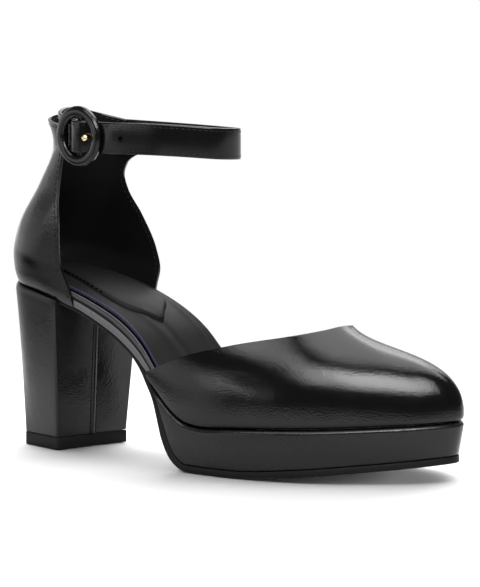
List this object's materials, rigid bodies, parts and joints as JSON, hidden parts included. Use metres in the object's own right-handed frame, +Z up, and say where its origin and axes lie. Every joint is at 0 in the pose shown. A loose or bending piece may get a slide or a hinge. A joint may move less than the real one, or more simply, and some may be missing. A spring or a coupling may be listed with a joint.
{
  "type": "block heel pump",
  "caption": "Black leather platform pump for the right foot: closed toe, open waist, covered block heel and an ankle strap with a round covered buckle.",
  "frame": {"origin": "centre of the shoe's box, on the floor", "axes": "+X from heel to toe, +Y to the inner side of the foot, +Z up"},
  "size_m": [0.2364, 0.0772, 0.1695],
  "materials": {
    "upper_leather": "smooth polished black leather",
    "wrap_leather": "smooth black leather stretched over a block",
    "sock_leather": "soft matte black leather",
    "sole_rubber": "matte black sole rubber",
    "gold_metal": "polished pale gold plating"
  },
  "bodies": {
    "root": {"outsole": "sole_rubber", "platform": "wrap_leather", "heel": "wrap_leather", "heel_lift": "sole_rubber", "insole": "sock_leather", "sock_pad": "sock_leather", "vamp": "upper_leather", "quarter": "upper_leather", "front_strap": "upper_leather", "back_strap": "upper_leather", "buckle": "upper_leather", "buckle_bar": "gold_metal", "prong": "gold_metal"}
  },
  "joints": []
}
